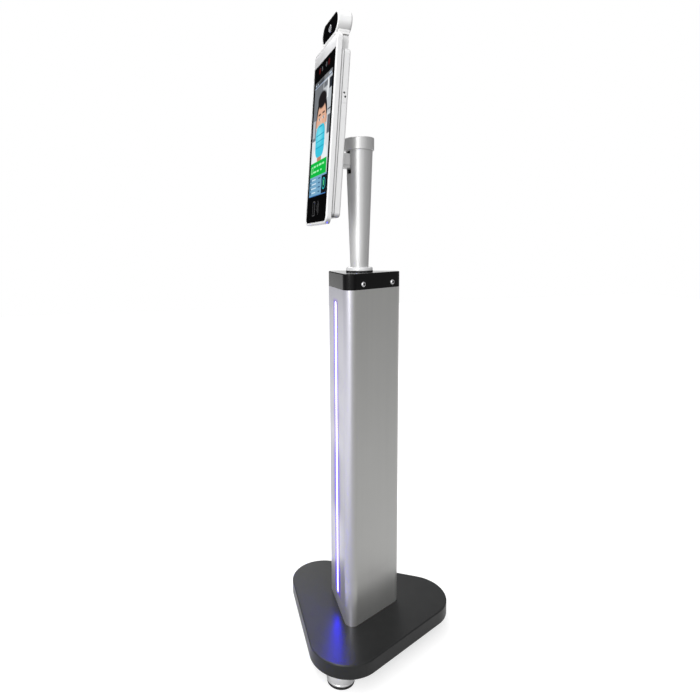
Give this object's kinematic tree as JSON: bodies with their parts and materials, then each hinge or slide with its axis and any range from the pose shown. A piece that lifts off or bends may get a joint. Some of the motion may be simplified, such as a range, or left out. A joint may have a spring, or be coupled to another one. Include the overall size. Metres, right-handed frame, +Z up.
{
  "type": "temperature check kiosk",
  "caption": "Floor-standing face and temperature check kiosk: tilting tablet with a thermal head on a tapered pole, lit triangular column and ballasted three-foot base.",
  "frame": {"origin": "on the floor, in the middle of the base's footprint box", "axes": "+Z up, the lit side faces -Y and the screen the same way, turned 4 degrees towards +X at rest, +X to the right of someone standing in front of the kiosk and facing it"},
  "size_m": [0.3434, 0.317, 1.2134],
  "materials": {
    "black_coat": "satin black powder coat",
    "dark_steel": "black oxide steel",
    "plain_steel": "zinc plated steel",
    "bright_steel": "polished",
    "black_rubber": "matte",
    "brushed_metal": "brushed along its length",
    "pole_paint": "satin silver",
    "frosted_bar": "frosted, lit from behind",
    "plain_aluminium": "mill finish",
    "light_board": "white board with lamps",
    "black_plastic": "moulded",
    "bush_plastic": "turned nylon",
    "white_plastic": "moulded white",
    "black_glass": "black printed glass",
    "display": "display module",
    "circuit_board": "green board",
    "sensor": "lens barrel"
  },
  "bodies": {
    "base": {"base_shell": "black_coat", "base_ballast": "dark_steel", "base_pillars": "plain_steel", "column_bolts": "dark_steel", "foot_lock_nuts": "plain_steel", "column_sleeve": "brushed_metal", "bottom_bracket": "plain_steel", "top_bracket": "plain_steel", "tie_rods": "plain_steel", "tie_nuts": "plain_steel", "column_cap": "black_coat", "cap_screws": "bright_steel", "light_bar": "frosted_bar", "light_channel": "plain_aluminium", "light_board": "light_board", "power_supply": "black_plastic", "supply_tray": "plain_steel", "power_inlet": "black_plastic", "switch_housing": "black_plastic", "power_lead": "black_rubber", "stem_bush": "bush_plastic", "pole_gasket": "black_rubber"},
    "foot_right": {"foot_right": "bright_steel", "foot_stud_right": "plain_steel", "foot_pad_right": "black_rubber"},
    "foot_left": {"foot_left": "bright_steel", "foot_stud_left": "plain_steel", "foot_pad_left": "black_rubber"},
    "foot_rear": {"foot_rear": "bright_steel", "foot_stud_rear": "plain_steel", "foot_pad_rear": "black_rubber"},
    "rocker": {"switch_rocker": "black_plastic"},
    "pole": {"pole_flange": "bright_steel", "pole_stem": "plain_steel", "stem_nut": "plain_steel", "pole_tube": "pole_paint", "pole_cap": "pole_paint", "hinge_carrier": "plain_steel", "hinge_pin": "plain_steel", "pole_grub_screws": "dark_steel"},
    "terminal": {"hinge_arm": "white_plastic", "arm_tongue": "pole_paint", "arm_bolts": "dark_steel", "mount_plate": "white_plastic", "mount_screws": "bright_steel", "front_bezel": "white_plastic", "front_glass": "black_glass", "display_panel": "display", "middle_band": "white_plastic", "rear_cover": "white_plastic", "cover_screws": "bright_steel", "main_board": "circuit_board", "camera_board": "circuit_board", "loudspeaker": "black_plastic", "head_neck": "white_plastic", "head_shell": "white_plastic", "head_window": "black_glass", "thermal_sensor": "sensor"},
    "power_button": {"power_button": "black_plastic"},
    "reset_button": {"reset_button": "black_plastic"}
  },
  "joints": [
    {"name": "pole_swivel", "type": "hinge", "parent": "base", "child": "pole", "pos_m": [0, -0.0305, 0.7585], "axis": [0, 0, 1], "range_deg": [-90, 90]},
    {"name": "terminal_tilt", "type": "hinge", "parent": "pole", "child": "terminal", "pos_m": [0.00056, -0.03848, 0.965], "axis": [-0.9976, -0.0698, 0], "range_deg": [-12, 12]},
    {"name": "foot_right_screw", "type": "slide", "parent": "base", "child": "foot_right", "axis": [0, 0, -1], "range_m": [0, 0.008]},
    {"name": "foot_left_screw", "type": "slide", "parent": "base", "child": "foot_left", "axis": [0, 0, -1], "range_m": [0, 0.008]},
    {"name": "foot_rear_screw", "type": "slide", "parent": "base", "child": "foot_rear", "axis": [0, 0, -1], "range_m": [0, 0.008]},
    {"name": "switch_rock", "type": "hinge", "parent": "base", "child": "rocker", "pos_m": [-0.03984, -0.0075, 0.14], "axis": [-0.5, -0.866, 0], "range_deg": [0, 14]},
    {"name": "power_press", "type": "slide", "parent": "terminal", "child": "power_button", "axis": [-0.9976, -0.0698, 0], "range_m": [0, 0.0008], "stiffness_N_per_m": 1500},
    {"name": "reset_press", "type": "slide", "parent": "terminal", "child": "reset_button", "axis": [-0.9976, -0.0698, 0], "range_m": [0, 0.0008], "stiffness_N_per_m": 1500}
  ]
}
